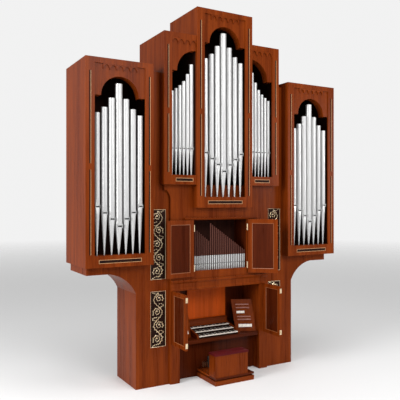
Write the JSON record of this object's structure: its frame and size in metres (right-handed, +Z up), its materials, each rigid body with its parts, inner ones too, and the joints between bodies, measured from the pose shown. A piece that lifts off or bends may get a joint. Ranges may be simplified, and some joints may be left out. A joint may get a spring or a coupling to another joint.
{
  "type": "pipe organ",
  "caption": "Church pipe organ with stepped pipe towers, carved wing panels, a console behind folding doors, a pedal platform and a bench.",
  "frame": {"origin": "on the floor, in the middle of the base's footprint", "axes": "+Z up, front faces -Y, the player's right is +X"},
  "size_m": [5.186, 1.411, 6.584],
  "materials": {
    "mahogany": "satin lacquered mahogany",
    "plain_boards": "plain boards, thin varnish",
    "lining_wood": "satin varnish",
    "pipe_metal": "polished tin",
    "gilt_carving": "gilded carving on a dark ground",
    "brass": "polished",
    "keys": "ivory-coloured naturals and black sharps",
    "black_rubber": "ribbed"
  },
  "bodies": {
    "root": {"apron_cheeks": "mahogany", "back_middle": "plain_boards", "back_strips": "plain_boards", "base_floors": "plain_boards", "base_sides": "mahogany", "bench_ends": "mahogany", "bench_front": "mahogany", "bench_seat": "mahogany", "brackets": "mahogany", "carved_panels": "gilt_carving", "case_tops": "plain_boards", "centre_fronts": "mahogany", "centre_pipes": "pipe_metal", "centre_sides": "mahogany", "console_back": "lining_wood", "console_cheeks": "mahogany", "console_top": "lining_wood", "door_hinges": "brass", "fold_leaves_inner": "mahogany", "fold_leaves_outer": "mahogany", "frieze": "mahogany", "inner_pipes": "pipe_metal", "key_bed": "mahogany", "key_cheeks": "mahogany", "knee_panel": "mahogany", "manual_lower": "keys", "manual_middle": "keys", "manual_upper": "keys", "music_desk": "mahogany", "opening_ledge": "mahogany", "opening_stiles": "mahogany", "outer_pipes": "pipe_metal", "pedal_base": "mahogany", "pedal_deck": "mahogany", "pedal_keys": "mahogany", "pedal_rests": "mahogany", "pilasters": "mahogany", "pipe_box_back": "lining_wood", "pipe_box_cheeks": "mahogany", "pipe_box_top": "lining_wood", "small_pipes": "pipe_metal", "stop_jambs": "mahogany", "swell_shoes": "black_rubber", "toe_boards": "lining_wood", "toe_levers": "brass", "tower_floors": "mahogany", "tower_headers": "mahogany", "tower_rails": "mahogany", "tower_sides": "mahogany", "tower_stiles": "mahogany", "upper_door_left": "mahogany", "upper_door_right": "mahogany", "wind_chest": "lining_wood", "wing_fronts": "mahogany", "wing_strips": "mahogany"}
  },
  "joints": []
}
